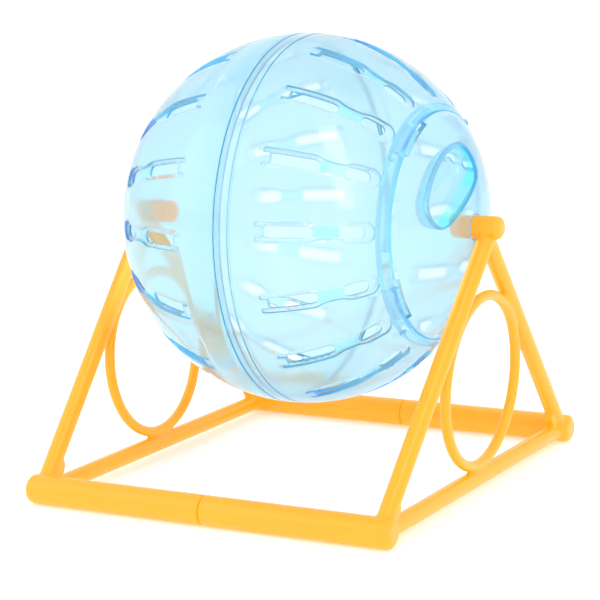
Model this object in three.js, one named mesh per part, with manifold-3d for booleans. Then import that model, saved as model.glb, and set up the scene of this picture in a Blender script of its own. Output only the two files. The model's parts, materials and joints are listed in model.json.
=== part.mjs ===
// A clear exercise ball for a hamster, spinning on two pins in a plastic frame.
// Millimetres. X runs along the pins, with the door on the +X side, Y from the front bar
// to the rear bar, and Z up. The origin is on the floor, under the middle of the ball.

import * as THREE from 'three';
import { mergeVertices } from 'three/addons/utils/BufferGeometryUtils.js';
import Module from 'manifold-3d';

const wasm = await Module();
wasm.setup();

// Clearances
const fitGap = 0.3; // between pieces that touch or are moulded together
const slideGap = 0.35; // round what slides or turns
const pinGap = 0.3; // round each pin in the ball
const cutMargin = 2; // how far a cutter reaches past what it cuts

// Ball
const ballRadius = 72.5;
const wall = 1.8;
const axleHeight = 102.3;
const jointX = -2; // the plane where the two halves meet
const lipLength = 6.5; // how far the left half's lip runs inside the right half
const lipThickness = 1.4;
const ballSides = 32;

// Slots, sixteen round each half, placed by their angle from the ball's middle plane
const slotCount = 16;
const slotTurnRight = 85.7; // degrees from straight up, towards the front
const slotTurnLeft = 90;
const longSlotStart = 15;
const longSlotEnd = 29.9;
const longSlotWidth = 3.9;
const shortSlotStart = 37.3;
const shortSlotEnd = 45.1;
const shortSlotWidth = 3.9;
const pocketStart = 12.8;
const pocketEnd = 48;
const pocketWidth = 7.4;
const shoulderAt = 29.5; // where the pocket starts to narrow
const tongueWidth = 4.1; // between the two prongs that run past the long slot
const waistAt = 33.5;
const waistWidth = 4.5;
const pocketDepth = 0.7;
const slotEndSides = 3; // straight sides in each round end

// Door opening and door
const doorRadius = 43.4;
const collarThickness = 1.8;
const ledgeWidth = 1.0; // how far the ledge reaches under the door
const ledgeThickness = 1.4;
const latchCount = 4;
const latchTurn = 35.5; // middle of the first latch, degrees from straight up
const latchArc = 19; // length of each latch, degrees
const latchTwist = 20; // how far the door turns from locked to free, degrees
const latchInset = 3.0; // how far inside the door's edge each latch starts
const latchThickness = 1.4;
const latchReach = 0.2; // how far each latch reaches past the door's edge
const windowLead = 6; // how far the window over a latch runs on towards its notch, degrees
const notchMargin = 0.75; // at each end of a notch, degrees
const notchDepth = 0.3; // how far a notch cuts into the opening's wall
const nubTurn = 15.5; // from the middle of a latch to its index nub, degrees
const nubRadius = 1.5;
const nubHeight = 0.8;

// Thumb recess in the door
const recessTurn = 30; // middle of the recess, degrees from straight up
const recessOuter = 30.6; // curved wall, from the axle
const recessChord = 11.9; // flat wall, from the axle
const recessHalfWidth = 20.2;
const recessCorner = 6.5;
const recessDepth = 13.5; // from the ball's pole
const recessWall = 1.4;

// Stand
const ballToFrame = 0.75; // between the ball's pole and the legs beside it
const frameLean = 4.6; // how far the foot of a frame stands inside its top
const barRadius = 5.75;
const barY = 84.8;
const barOverhang = 5.4; // past the foot of the frame
const barEndRound = 2.2;
const barEndWall = 3;
const barBoreRadius = 4.3;
const barSides = 16;
const edgeBevel = 0.4; // at the joint of two half bars
const spigotLength = 15;
const spigotWall = 1.4;
const legRadius = 3.35;
const legMeetDrop = 4.2; // from the axle down to where the two legs of a frame run together
const railRadius = 3.35;
const railDrop = 0.65; // from the middle of the bars down to the middle of the rail
const ringTube = 2.1;
const ringSinkLeg = 1.2; // how deep the ring is fused into the legs
const ringSinkRail = 0.45;
const pinRadius = 4.5;
const pinDepth = 10.3; // how far a pin reaches into the ball
const pinBevel = 0.8;
const hubOverhang = 6.4; // past the middle of the legs
const hubRound = 1.8;
const gussetSize = 7;
const gussetThickness = 4;

const yellow = { color: 0xfbc02d, roughness: 0.35, metalness: 0 };
const clearBlue = { color: 0xbfeeff, roughness: 0.08, metalness: 0, transparent: true, opacity: 0.45 };

const radians = THREE.MathUtils.degToRad;

// Turning a closed mesh into a solid and back

function solid(geometry) {
  geometry.deleteAttribute('normal');
  geometry.deleteAttribute('uv');
  const merged = mergeVertices(geometry, 1e-4);
  return new wasm.Manifold(new wasm.Mesh({
    numProp: 3,
    vertProperties: new Float32Array(merged.attributes.position.array),
    triVerts: new Uint32Array(merged.index.array),
  }));
}

function piece(name, body, look) {
  const mesh = body.getMesh();
  const geometry = new THREE.BufferGeometry();
  geometry.setAttribute('position', new THREE.BufferAttribute(mesh.vertProperties, 3));
  geometry.setIndex(new THREE.BufferAttribute(mesh.triVerts, 1));
  geometry.computeVertexNormals();
  const made = new THREE.Mesh(geometry, new THREE.MeshStandardMaterial(look));
  made.name = name;
  return made;
}

// Revolves a closed outline of [x, radius] points about the X axis, with a flat side upwards
function revolve(outline, sides) {
  const points = outline.map(([x, r]) => new THREE.Vector2(r, x));
  if (THREE.ShapeUtils.area(points) < 0) points.reverse();
  if (points[0].x > 0) points.push(points[0].clone());
  const geometry = new THREE.LatheGeometry(points, sides);
  geometry.rotateZ(-Math.PI / 2);
  geometry.rotateX(Math.PI / sides);
  return solid(geometry);
}

// A straight round rod between two points
function rod(from, to, radius, sides = 12) {
  const axis = new THREE.Vector3().subVectors(to, from);
  const geometry = new THREE.CylinderGeometry(radius, radius, axis.length(), sides);
  geometry.rotateY(Math.PI / sides);
  geometry.translate(0, axis.length() / 2, 0);
  const turn = new THREE.Quaternion().setFromUnitVectors(new THREE.Vector3(0, 1, 0), axis.normalize());
  geometry.applyQuaternion(turn);
  geometry.translate(from.x, from.y, from.z);
  return solid(geometry);
}

// Points of an arc in the [x, radius] plane, on a sphere round the ball's middle
function sphereArc(radius, fromX, toX, steps) {
  const from = Math.asin(fromX / radius);
  const to = Math.asin(toX / radius);
  const points = [];
  for (let i = 0; i <= steps; i += 1) {
    const angle = from + ((to - from) * i) / steps;
    points.push([radius * Math.sin(angle), radius * Math.cos(angle)]);
  }
  return points;
}

function sphereX(radius, atRadius) {
  return Math.sqrt(radius * radius - atRadius * atRadius);
}

// Turns a solid about the X axis, from straight up towards the front
function turned(body, degrees) {
  return body.rotate([degrees, 0, 0]);
}

// A wedge about the X axis, from one angle to another
function sector(fromDegrees, toDegrees) {
  const reach = 2 * collarRadius;
  const shape = new THREE.Shape();
  shape.moveTo(0, 0);
  shape.lineTo(0, reach);
  const spread = radians(toDegrees - fromDegrees);
  shape.lineTo(-reach * Math.sin(spread), reach * Math.cos(spread));
  const geometry = new THREE.ExtrudeGeometry(shape, { depth: 2 * reach, bevelEnabled: false });
  geometry.translate(0, 0, -reach);
  return turned(yzToFrame(geometry), fromDegrees);
}

// Takes a shape drawn in the x-y plane and extruded along z to the Y-Z plane and along X
function yzToFrame(geometry) {
  const basis = new THREE.Matrix4().makeBasis(
    new THREE.Vector3(0, 1, 0),
    new THREE.Vector3(0, 0, 1),
    new THREE.Vector3(1, 0, 0),
  );
  geometry.applyMatrix4(basis);
  return solid(geometry);
}

function joined(bodies) {
  return bodies.reduce((sum, body) => sum.add(body));
}

function repeated(body, count, firstTurn) {
  const copies = [];
  for (let i = 0; i < count; i += 1) copies.push(turned(body, firstTurn + (i * 360) / count));
  return joined(copies);
}

// Stand

const legTopX = ballRadius + ballToFrame + legRadius;
const legFootX = legTopX - frameLean;
const barHalfLength = legFootX + barOverhang;
const barZ = barRadius * Math.cos(Math.PI / barSides);
const railZ = barZ - railDrop;
const legMeetZ = axleHeight - legMeetDrop;
const legAngle = Math.atan2(legMeetZ - barZ, barY);
const frameSlope = frameLean / (axleHeight - barZ);
const frameX = (z) => legFootX + frameSlope * (z - barZ);

function roundedEnd(endX, radius, round, steps) {
  const points = [];
  for (let i = 0; i <= steps; i += 1) {
    const angle = (Math.PI / 2) * (1 - i / steps);
    points.push([endX - round + round * Math.cos(angle), radius - round + round * Math.sin(angle)]);
  }
  return points;
}

function placeBar(bar, side) {
  return bar.translate([0, side * barY, barZ]);
}

// A half bar lies along +X, with a bore open at the joint
function socketBar() {
  const outline = [
    [fitGap / 2, barBoreRadius],
    [fitGap / 2, barRadius - edgeBevel],
    [fitGap / 2 + edgeBevel, barRadius],
    ...roundedEnd(barHalfLength, barRadius, barEndRound, 3),
    [barHalfLength, 0],
    [barHalfLength - barEndWall, 0],
    [barHalfLength - barEndWall, barBoreRadius],
  ];
  return revolve(outline, barSides);
}

function spigotBar() {
  const spigotRadius = barBoreRadius - slideGap;
  const boreRadius = spigotRadius - spigotWall;
  const outline = [
    [-spigotLength, boreRadius],
    [-spigotLength, spigotRadius - edgeBevel],
    [edgeBevel - spigotLength, spigotRadius],
    [fitGap / 2, spigotRadius],
    [fitGap / 2, barRadius - edgeBevel],
    [fitGap / 2 + edgeBevel, barRadius],
    ...roundedEnd(barHalfLength, barRadius, barEndRound, 3),
    [barHalfLength, 0],
    [barHalfLength - barEndWall, 0],
    [barHalfLength - barEndWall, boreRadius],
  ];
  return revolve(outline, barSides);
}

function leg(side) {
  const foot = new THREE.Vector3(legFootX, side * barY, barZ);
  const meet = new THREE.Vector3(frameX(legMeetZ), 0, legMeetZ);
  const along = new THREE.Vector3().subVectors(meet, foot).normalize();
  return rod(foot, meet.addScaledVector(along, legRadius / 2), legRadius);
}

// The ring is fused into both legs and the rail, which sets its place and size
function ring() {
  const share = Math.cos(legAngle);
  const legReach = legMeetZ * share - legRadius + ringSinkLeg;
  const railTop = railZ + railRadius - ringSinkRail;
  const ringZ = (legReach + railTop) / (1 + share);
  const geometry = new THREE.TorusGeometry(ringZ - railTop - ringTube, ringTube, 8, 32);
  geometry.rotateY(Math.PI / 2 + Math.atan(frameSlope));
  geometry.translate(frameX(ringZ), 0, ringZ);
  return solid(geometry);
}

function hubAndPin() {
  const pinEndX = ballRadius - pinDepth;
  const hubEndX = legTopX + hubOverhang;
  const outline = [
    [pinEndX, 0],
    [pinEndX, pinRadius - pinBevel],
    [pinEndX + pinBevel, pinRadius],
    ...roundedEnd(hubEndX, pinRadius, hubRound, 3),
    [hubEndX, 0],
  ];
  return revolve(outline, 16).translate([0, 0, axleHeight]);
}

// The filleted corner between a leg and the floor rail, its back edges sunk into both
function gusset(side) {
  const railTop = railZ + railRadius;
  const corner = (railTop - barZ) / Math.tan(legAngle) + legRadius / Math.sin(legAngle) - barY;
  const sink = legRadius / 3;
  const onLeg = [corner + gussetSize * Math.cos(legAngle), railTop + gussetSize * Math.sin(legAngle)];
  const shape = new THREE.Shape();
  shape.moveTo(corner - sink, railTop - sink);
  shape.lineTo(corner + gussetSize, railTop - sink);
  shape.lineTo(corner + gussetSize, railTop);
  shape.quadraticCurveTo(corner, railTop, onLeg[0], onLeg[1]);
  shape.lineTo(onLeg[0] - sink, onLeg[1] + sink);
  const geometry = new THREE.ExtrudeGeometry(shape, {
    depth: gussetThickness,
    bevelEnabled: false,
    curveSegments: 4,
  });
  geometry.translate(0, 0, frameX(railTop) - gussetThickness / 2);
  const web = yzToFrame(geometry);
  return side < 0 ? web : web.mirror([0, 1, 0]);
}

function sideFrame() {
  const rail = rod(
    new THREE.Vector3(legFootX, -barY, railZ),
    new THREE.Vector3(legFootX, barY, railZ),
    railRadius,
  );
  const body = joined([leg(-1), leg(1), rail, ring(), hubAndPin(), gusset(-1), gusset(1)]);
  const seat = rod(
    new THREE.Vector3(0, -barY, barZ),
    new THREE.Vector3(barHalfLength + cutMargin, -barY, barZ),
    barRadius + fitGap,
    barSides,
  );
  return body.subtract(seat).subtract(seat.mirror([0, 1, 0]));
}

// Ball

const pinHoleRadius = pinRadius + pinGap;
const innerRadius = ballRadius - wall;
const flatShare = Math.cos(Math.PI / ballSides); // how near the axle the middle of a flat side comes
const openingRadius = doorRadius / flatShare + fitGap;
const collarRadius = openingRadius + collarThickness;
const ledgeInner = doorRadius - ledgeWidth;
const ledgeTop = innerRadius - fitGap;
const ledgeBottom = ledgeTop - ledgeThickness;
const latchTop = ledgeBottom - slideGap;
const latchBottom = latchTop - latchThickness;
const latchInner = doorRadius - latchInset;
const latchTip = doorRadius + latchReach;
const latchShank = ledgeInner * flatShare - slideGap;

// A prism that stands on the ball at an angle from its middle plane, drawn with u towards
// the pole and v along the ball's turning direction
function radialPrism(shape, latitude, fromRadius, toRadius, sidesPerArc) {
  const geometry = new THREE.ExtrudeGeometry(shape, {
    depth: toRadius - fromRadius,
    bevelEnabled: false,
    curveSegments: sidesPerArc / 2,
  });
  geometry.translate(0, 0, fromRadius);
  const angle = radians(latitude);
  const basis = new THREE.Matrix4().makeBasis(
    new THREE.Vector3(Math.cos(angle), 0, -Math.sin(angle)),
    new THREE.Vector3(0, 1, 0),
    new THREE.Vector3(Math.sin(angle), 0, Math.cos(angle)),
  );
  geometry.applyMatrix4(basis);
  return solid(geometry);
}

function slotCutter(startDegrees, endDegrees, width) {
  const length = ballRadius * radians(endDegrees - startDegrees);
  const half = width / 2;
  const shape = new THREE.Shape();
  shape.absarc(length / 2 - half, 0, half, -Math.PI / 2, Math.PI / 2);
  shape.absarc(half - length / 2, 0, half, Math.PI / 2, Math.PI * 1.5);
  const middle = (startDegrees + endDegrees) / 2;
  return radialPrism(shape, middle, innerRadius - cutMargin, ballRadius + cutMargin, slotEndSides);
}

// The shallow waisted pocket that both slots of a group lie in
function pocketCutter() {
  const middle = (pocketStart + pocketEnd) / 2;
  const along = (degrees) => ballRadius * radians(degrees - middle);
  const half = pocketWidth / 2;
  const waist = waistWidth / 2;
  const tongue = tongueWidth / 2;
  const roundMiddle = along(pocketEnd) - half;
  const shape = new THREE.Shape();
  shape.moveTo(along(pocketStart), half);
  shape.lineTo(along(pocketStart), tongue);
  shape.lineTo(along(longSlotStart), tongue);
  shape.lineTo(along(longSlotStart), -tongue);
  shape.lineTo(along(pocketStart), -tongue);
  shape.lineTo(along(pocketStart), -half);
  shape.lineTo(along(shoulderAt), -half);
  shape.lineTo(along(waistAt), -waist);
  shape.absarc(roundMiddle, 0, half, -Math.PI / 2, Math.PI / 2);
  shape.lineTo(along(waistAt), waist);
  shape.lineTo(along(shoulderAt), half);
  const floorEnd = (ballRadius - pocketDepth) * Math.cos(radians(pocketEnd - middle));
  return radialPrism(shape, middle, floorEnd - cutMargin, ballRadius + cutMargin, slotEndSides);
}

function ballSolid(radius) {
  const geometry = new THREE.SphereGeometry(radius, ballSides, ballSides / 2);
  geometry.rotateZ(-Math.PI / 2);
  geometry.rotateX(Math.PI / ballSides);
  return solid(geometry);
}

// All the slots of the half that faces +X, with the first one straight up
function slotPattern() {
  const pockets = repeated(pocketCutter(), slotCount, 0).subtract(ballSolid(ballRadius - pocketDepth));
  const holes = slotCutter(longSlotStart, longSlotEnd, longSlotWidth)
    .add(slotCutter(shortSlotStart, shortSlotEnd, shortSlotWidth));
  return pockets.add(repeated(holes, slotCount, 0));
}

const slots = slotPattern();

function leftHalf() {
  const edge = jointX - fitGap / 2;
  const lipOuter = innerRadius * flatShare - fitGap;
  const lipInner = lipOuter - lipThickness;
  const outline = [
    ...sphereArc(ballRadius, -sphereX(ballRadius, pinHoleRadius), edge, 8),
    ...sphereArc(lipOuter, edge, jointX + lipLength, 1),
    ...sphereArc(lipInner, jointX + lipLength, jointX - lipLength / 2, 1),
    ...sphereArc(innerRadius, jointX - lipLength, -sphereX(innerRadius, pinHoleRadius), 6),
  ];
  return turned(revolve(outline, ballSides).subtract(slots.mirror([1, 0, 0])), slotTurnLeft);
}

// The stretches of a ring at each latch, as wide as the angles given
function banded(ring, fromDegrees, toDegrees, firstTurn) {
  return turned(ring, slotTurnRight).intersect(repeated(sector(fromDegrees, toDegrees), latchCount, firstTurn));
}

function rightHalf() {
  const edge = jointX + fitGap / 2;
  const outline = [
    ...sphereArc(ballRadius, edge, sphereX(ballRadius, openingRadius), 5),
    ...sphereArc(ledgeTop, sphereX(ledgeTop, openingRadius), sphereX(ledgeTop, ledgeInner), 1),
    ...sphereArc(ledgeBottom, sphereX(ledgeBottom, ledgeInner), sphereX(ledgeBottom, collarRadius), 1),
    ...sphereArc(innerRadius, sphereX(innerRadius, collarRadius), edge, 5),
  ];
  const shell = turned(revolve(outline, ballSides).subtract(slots), slotTurnRight);
  const notchRadius = openingRadius + notchDepth;
  const notchInner = ledgeInner - slideGap;
  const notchRing = revolve([
    [ballRadius / 2, notchInner],
    [ballRadius / 2, notchRadius],
    [ballRadius, notchRadius],
    [ballRadius, notchInner],
  ], ballSides);
  const notchEnd = latchArc / 2 + notchMargin;
  const notches = banded(notchRing, -notchEnd, notchEnd, latchTurn - latchTwist);
  const shape = new THREE.Shape();
  shape.absarc(0, 0, nubRadius, 0, Math.PI * 2);
  const nubLatitude = 90 - THREE.MathUtils.radToDeg(Math.asin((collarRadius + nubRadius) / ballRadius));
  const nub = radialPrism(shape, nubLatitude, ballRadius - wall / 2, ballRadius + nubHeight, 8);
  const nubs = repeated(nub, latchCount, latchTurn + nubTurn);
  return shell.subtract(notches).add(nubs);
}

// The D-shaped outline of the thumb recess, grown by some amount all round
function recessPrism(grow, fromX, toX) {
  const outer = recessOuter + grow;
  const half = recessHalfWidth + grow;
  const chord = recessChord - grow;
  const corner = recessCorner + grow;
  const side = Math.sqrt(outer * outer - half * half);
  const sideAngle = Math.atan2(side, half);
  const shape = new THREE.Shape();
  shape.moveTo(corner - half, chord);
  shape.lineTo(half - corner, chord);
  shape.quadraticCurveTo(half, chord, half, chord + corner);
  shape.absarc(0, 0, outer, sideAngle, Math.PI - sideAngle);
  shape.lineTo(-half, chord + corner);
  shape.quadraticCurveTo(-half, chord, corner - half, chord);
  const geometry = new THREE.ExtrudeGeometry(shape, {
    depth: toX - fromX,
    bevelEnabled: false,
    curveSegments: 10,
  });
  geometry.translate(0, 0, fromX);
  return turned(yzToFrame(geometry), recessTurn);
}

function door() {
  const dome = turned(revolve([
    ...sphereArc(ballRadius, sphereX(ballRadius, doorRadius), sphereX(ballRadius, pinHoleRadius), 4),
    ...sphereArc(innerRadius, sphereX(innerRadius, pinHoleRadius), sphereX(innerRadius, doorRadius), 4),
  ], ballSides), slotTurnRight);
  const pocket = recessPrism(recessWall, ballRadius - recessDepth - recessWall, ballRadius)
    .intersect(ballSolid(ballRadius - wall / 2));
  const latchRoot = ballRadius - wall / 2;
  const latchRing = revolve([
    [sphereX(latchRoot, latchInner), latchInner],
    [sphereX(latchRoot, latchShank), latchShank],
    [sphereX(latchTop, latchShank), latchShank],
    [sphereX(latchTop, latchTip), latchTip],
    [sphereX(latchBottom, latchTip), latchTip],
    [sphereX(latchBottom, latchInner), latchInner],
  ], ballSides);
  const latches = banded(latchRing, -latchArc / 2, latchArc / 2, latchTurn);
  const windowRing = revolve([
    [sphereX(innerRadius - fitGap, latchTip), latchShank],
    [sphereX(innerRadius - fitGap, latchTip), latchTip + cutMargin],
    [ballRadius, latchTip + cutMargin],
    [ballRadius, latchShank],
  ], ballSides);
  const windows = banded(windowRing, -latchArc / 2 - windowLead, latchArc / 2, latchTurn);
  return dome
    .add(pocket)
    .subtract(recessPrism(0, ballRadius - recessDepth, ballRadius + cutMargin))
    .subtract(windows)
    .add(latches);
}

// The parts, with the ball in its place above the floor

const part = new THREE.Group();

const rightFrame = sideFrame();
part.add(piece('right_frame', rightFrame, yellow));
part.add(piece('left_frame', rightFrame.mirror([1, 0, 0]), yellow));
part.add(piece('front_bar_right', placeBar(socketBar(), -1), yellow));
part.add(piece('rear_bar_right', placeBar(socketBar(), 1), yellow));
part.add(piece('front_bar_left', placeBar(spigotBar(), -1).mirror([1, 0, 0]), yellow));
part.add(piece('rear_bar_left', placeBar(spigotBar(), 1).mirror([1, 0, 0]), yellow));

const ball = new THREE.Group();
ball.position.z = axleHeight;
ball.add(piece('ball_left_half', leftHalf(), clearBlue));
ball.add(piece('ball_right_half', rightHalf(), clearBlue));
ball.add(piece('door', door(), clearBlue));
part.add(ball);

export default part;
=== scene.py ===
# A clear exercise ball for a hamster, spinning on two pins in a plastic frame.
import json
from math import asin, atan, atan2, cos, degrees, pi, radians, sin, sqrt, tan
import bmesh
import bpy
from mathutils import Matrix, Vector


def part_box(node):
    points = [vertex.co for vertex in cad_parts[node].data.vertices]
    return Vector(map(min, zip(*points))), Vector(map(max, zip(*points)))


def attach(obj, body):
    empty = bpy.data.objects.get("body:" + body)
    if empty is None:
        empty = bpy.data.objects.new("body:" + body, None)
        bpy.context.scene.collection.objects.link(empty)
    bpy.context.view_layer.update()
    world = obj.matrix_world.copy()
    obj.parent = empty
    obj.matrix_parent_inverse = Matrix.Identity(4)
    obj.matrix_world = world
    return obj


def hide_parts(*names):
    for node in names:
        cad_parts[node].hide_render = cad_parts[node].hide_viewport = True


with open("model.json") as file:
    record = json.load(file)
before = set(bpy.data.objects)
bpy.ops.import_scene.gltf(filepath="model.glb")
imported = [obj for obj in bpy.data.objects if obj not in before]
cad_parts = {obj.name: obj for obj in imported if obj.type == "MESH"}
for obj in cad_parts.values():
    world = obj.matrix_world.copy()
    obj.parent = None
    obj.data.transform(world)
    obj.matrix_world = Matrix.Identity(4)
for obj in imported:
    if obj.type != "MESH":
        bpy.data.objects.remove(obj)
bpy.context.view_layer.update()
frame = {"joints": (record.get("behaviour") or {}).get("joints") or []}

mm = 0.001
touching = 1e-7  # points nearer than this are one point
turnStep = 1.875  # degrees between rows of points on the ball
joints = {joint["name"]: joint for joint in frame["joints"]}
axle = joints["ball_spin"]["pos_m"][2]  # height of the pins above the floor


# Working in the scene

def objectMode():
    if bpy.context.mode != "OBJECT":
        bpy.ops.object.mode_set(mode="OBJECT")


def pick(*pieces):
    # selects these objects and nothing else, the first one active
    objectMode()
    for other in bpy.context.selected_objects:
        other.select_set(False)
    for piece in pieces:
        piece.select_set(True)
    bpy.context.view_layer.objects.active = pieces[0] if pieces else None


def edit(piece, select="SELECT"):
    pick(piece)
    bpy.ops.object.mode_set(mode="EDIT")
    bpy.ops.mesh.select_mode(type="VERT")
    bpy.ops.mesh.select_all(action=select)


def chooseFaces(piece, wanted):
    # selects the faces whose middle and normal fit, and goes back to edit mode
    edit(piece, "DESELECT")
    bpy.ops.mesh.select_mode(type="FACE")
    objectMode()
    for face in piece.data.polygons:
        face.select = wanted(face.center, face.normal)
    bpy.ops.object.mode_set(mode="EDIT")


def tidyMesh(piece, near=10 * touching):
    # joins doubled points and turns the faces outwards
    edit(piece)
    bpy.ops.mesh.remove_doubles(threshold=near)
    bpy.ops.mesh.normals_make_consistent(inside=False)
    objectMode()
    body = bmesh.new()
    body.from_mesh(piece.data)
    if body.calc_volume(signed=True) < 0:
        edit(piece)
        bpy.ops.mesh.flip_normals()
        objectMode()
    body.free()


def applied(piece, kind, **settings):
    pick(piece)
    modifier = piece.modifiers.new(kind.title(), kind)
    for key, value in settings.items():
        setattr(modifier, key, value)
    bpy.ops.object.modifier_apply(modifier=modifier.name)


def cut(piece, tool, how="DIFFERENCE"):
    applied(piece, "BOOLEAN", object=tool, operation=how, solver="MANIFOLD")
    bpy.data.objects.remove(tool)


def joined(pieces):
    pick(*pieces)
    bpy.ops.object.join()
    return bpy.context.view_layer.objects.active


def placed(piece, x=0.0, y=0.0, z=0.0):
    # moves the mesh, and leaves the object at the origin
    edit(piece)
    bpy.ops.transform.translate(value=(x, y, z))
    objectMode()
    return piece


def copied(piece, name):
    pick(piece)
    bpy.ops.object.duplicate()
    twin = bpy.context.view_layer.objects.active
    twin.name = name
    return twin


def mirrored(piece):
    # onto the other side of the middle plane
    edit(piece)
    bpy.ops.transform.resize(value=(-1, 1, 1), center_override=(0, 0, 0))
    objectMode()
    tidyMesh(piece)
    return piece


# Outlines are (x, radius) points beside the pins' line

def line(name, points):
    # a row of points joined by edges, left in edit mode
    pick()
    bpy.ops.mesh.primitive_plane_add(size=mm, location=(0, 0, 0))
    piece = bpy.context.view_layer.objects.active
    piece.name = name
    edit(piece)
    bpy.ops.mesh.merge(type="CENTER")
    places = [Vector(point) for point in points]
    bpy.ops.transform.translate(value=places[0])
    for near, far in zip(places, places[1:]):
        bpy.ops.mesh.extrude_region_move(TRANSFORM_OT_translate={"value": far - near})
    return piece


def spun(name, outline, steps, fromTurn=0.0, toTurn=360.0):
    # sweeps a closed outline about the x axis; turns go from straight up towards the front
    turn = radians(fromTurn)
    points = [(x, -r * sin(turn), r * cos(turn)) for x, r in outline + outline[:1]]
    piece = line(name, points)
    bpy.ops.mesh.select_all(action="SELECT")
    bpy.ops.mesh.spin(steps=steps, angle=radians(toTurn - fromTurn), center=(0, 0, 0), axis=(-1, 0, 0))
    bpy.ops.mesh.select_all(action="SELECT")
    bpy.ops.mesh.remove_doubles(threshold=touching)
    if toTurn - fromTurn < 360:
        bpy.ops.mesh.fill_holes(sides=0)
    bpy.ops.mesh.normals_make_consistent(inside=False)
    objectMode()
    return piece


def repeated(piece, count, turn):
    # the piece and its copies about the x axis, each one turned on from the last
    edit(piece)
    bpy.ops.mesh.spin(steps=count - 1, dupli=True, angle=radians(turn) * (count - 1),
                      center=(0, 0, 0), axis=(-1, 0, 0))
    objectMode()
    return piece


def turned(piece, turn):
    objectMode()
    piece.data.transform(Matrix.Rotation(radians(turn), 4, "X"))
    return piece


def sphereX(radius, atRadius):
    return sqrt(radius * radius - atRadius * atRadius)


def sphereArc(radius, fromX, toX):
    start, end = asin(fromX / radius), asin(toX / radius)
    count = max(1, round(abs(degrees(end - start)) / turnStep))
    turns = [start + (end - start) * i / count for i in range(count + 1)]
    return [(radius * sin(turn), radius * cos(turn)) for turn in turns]


def roundTurn(middleX, middleR, radius, fromTurn, toTurn, steps):
    # an arc in the outline's plane; 0 degrees points along +x and 90 away from the axle
    turns = [radians(fromTurn + (toTurn - fromTurn) * i / steps) for i in range(steps + 1)]
    return [(middleX + radius * cos(turn), middleR + radius * sin(turn)) for turn in turns]


# Camera

view = {
    "azimuth": 28.666,
    "elevation": 10.149,
    "roll": -1.386,
    "distance": 837.651 * mm,
    "target": Vector((-4.295, 0, 69.373)) * mm,
    "lens": 126.573,
    "sensor": 36,
    "farthest": 20,
}


def addCamera():
    az, el, roll = (radians(view[key]) for key in ("azimuth", "elevation", "roll"))
    back = Vector((sin(az) * cos(el), -cos(az) * cos(el), sin(el)))
    right = Vector((cos(az), sin(az), 0))
    up = back.cross(right)
    side = cos(roll) * right + sin(roll) * up
    top = -sin(roll) * right + cos(roll) * up
    data = bpy.data.cameras.new("camera")
    data.lens = view["lens"]
    data.sensor_width = view["sensor"]
    data.clip_end = view["farthest"]
    camera = bpy.data.objects.new("camera", data)
    bpy.context.scene.collection.objects.link(camera)
    facing = Matrix((side, top, back)).transposed().to_4x4()
    camera.matrix_world = Matrix.Translation(view["target"] + back * view["distance"]) @ facing
    bpy.context.scene.camera = camera
    print("camera placed")


# Shader maths

class Wire:
    # a socket that can be used in sums
    def __init__(self, finish, socket):
        self.finish = finish
        self.socket = socket

    def out(self, name):
        return Wire(self.finish, self.socket.node.outputs[name])

    def maths(self, operation, *values):
        return self.finish.node("ShaderNodeMath", {"operation": operation}, dict(enumerate(values)))

    def below(self, limit):
        return self.maths("LESS_THAN", self, limit)

    def size(self):
        return self.maths("ABSOLUTE", self)

    def root(self):
        return self.maths("SQRT", self)

    def within(self):
        # cut off below 0 and above 1
        return self.maths("MAXIMUM", self.maths("MINIMUM", self, 1.0), 0.0)

    def __add__(self, other):
        return self.maths("ADD", self, other)

    def __radd__(self, other):
        return self.maths("ADD", other, self)

    def __sub__(self, other):
        return self.maths("SUBTRACT", self, other)

    def __rsub__(self, other):
        return self.maths("SUBTRACT", other, self)

    def __mul__(self, other):
        return self.maths("MULTIPLY", self, other)

    def __rmul__(self, other):
        return self.maths("MULTIPLY", other, self)


class Finish:
    # a material and the nodes that make it
    def __init__(self, name):
        self.material = bpy.data.materials.new(name)
        self.material.use_nodes = True
        self.nodes = self.material.node_tree.nodes
        self.links = self.material.node_tree.links
        self.nodes.clear()

    def node(self, kind, settings=None, values=None):
        made = self.nodes.new(kind)
        for key, value in (settings or {}).items():
            setattr(made, key, value)
        for key, value in (values or {}).items():
            if isinstance(value, Wire):
                self.links.new(value.socket, made.inputs[key])
            else:
                made.inputs[key].default_value = value
        return Wire(self, made.outputs[0]) if made.outputs else made

    def mix(self, factor, first, second):
        wire = self.node("ShaderNodeMix", {"data_type": "RGBA"}, {"Factor": factor, 6: first, 7: second})
        return Wire(self, wire.socket.node.outputs[2])

    def place(self):
        return self.node("ShaderNodeTexCoord").out("Object")

    def parts(self, where):
        split = self.node("ShaderNodeSeparateXYZ", None, {0: where})
        return [split.out(axis) for axis in "XYZ"]

    def noise(self, where, scale, detail):
        return self.node("ShaderNodeTexNoise", None, {"Vector": where, "Scale": scale, "Detail": detail})

    def bump(self, height, strength, distance):
        return self.node("ShaderNodeBump", None,
                         {"Height": height, "Strength": strength, "Distance": distance})

    def finished(self, surface, volume=None):
        values = {"Surface": surface}
        if volume:
            values["Volume"] = volume
        self.node("ShaderNodeOutputMaterial", None, values)
        return self.material


# Stand

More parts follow.
